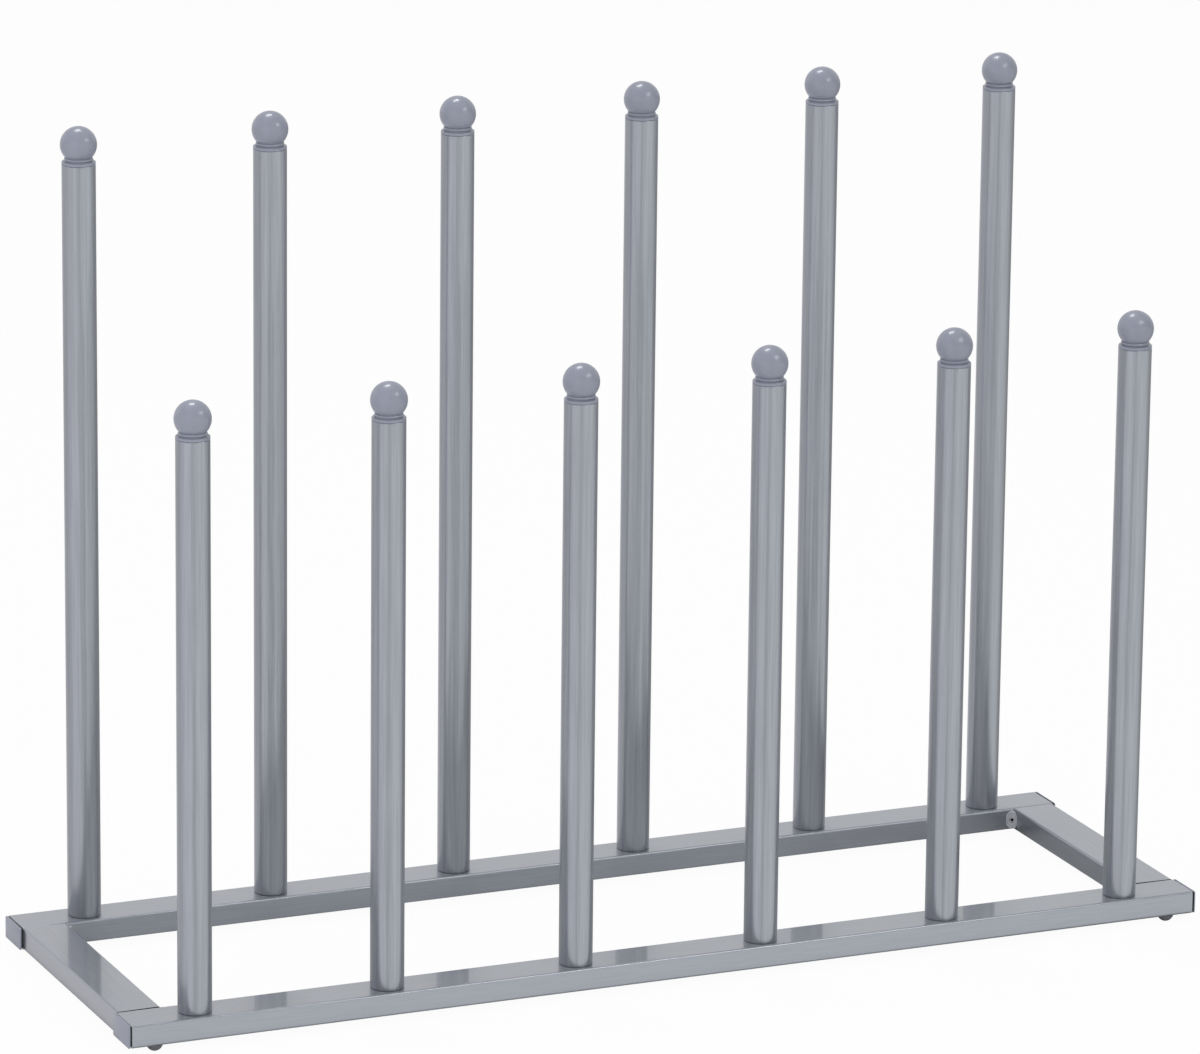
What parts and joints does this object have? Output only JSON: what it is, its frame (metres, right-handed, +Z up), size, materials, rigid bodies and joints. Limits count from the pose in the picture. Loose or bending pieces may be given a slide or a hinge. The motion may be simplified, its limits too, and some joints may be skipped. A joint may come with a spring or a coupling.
{
  "type": "boot rack",
  "caption": "Free-standing boot rack: a flat frame of rectangular tube carries a row of short posts and a row of tall posts with ball ends, for upturned boots.",
  "frame": {"origin": "centre of the footprint, on the floor under the four feet", "axes": "+X along the rack, towards the right seen from the front; -Y is the front, with the short posts; +Z up"},
  "size_m": [0.7544, 0.24, 0.5491],
  "materials": {
    "rail_lacquer": "gloss metallic silver-grey lacquer on rectangular steel tube",
    "post_lacquer": "semi-gloss metallic silver-grey lacquer on round steel tube",
    "moulded_trim": "smooth glossy grey moulding with a slight lavender cast",
    "inner_moulding": "plain light grey nylon",
    "foot_moulding": "smooth grey polyethylene, slightly shiny",
    "zinc_plate": "bright zinc-plated steel"
  },
  "bodies": {
    "root": {"corner_screws": "zinc_plate", "feet": "foot_moulding", "front_finials": "moulded_trim", "front_left_connector": "inner_moulding", "front_left_end_cap": "moulded_trim", "front_post_1": "post_lacquer", "front_post_2": "post_lacquer", "front_post_3": "post_lacquer", "front_post_4": "post_lacquer", "front_post_5": "post_lacquer", "front_post_6": "post_lacquer", "front_post_plugs": "inner_moulding", "front_rail": "rail_lacquer", "front_right_connector": "inner_moulding", "front_right_end_cap": "moulded_trim", "left_side_rail": "rail_lacquer", "post_bolts": "zinc_plate", "post_nuts": "zinc_plate", "rear_finials": "moulded_trim", "rear_left_connector": "inner_moulding", "rear_left_end_cap": "moulded_trim", "rear_post_1": "post_lacquer", "rear_post_2": "post_lacquer", "rear_post_3": "post_lacquer", "rear_post_4": "post_lacquer", "rear_post_5": "post_lacquer", "rear_post_6": "post_lacquer", "rear_post_plugs": "inner_moulding", "rear_rail": "rail_lacquer", "rear_right_connector": "inner_moulding", "rear_right_end_cap": "moulded_trim", "right_side_rail": "rail_lacquer"}
  },
  "joints": []
}
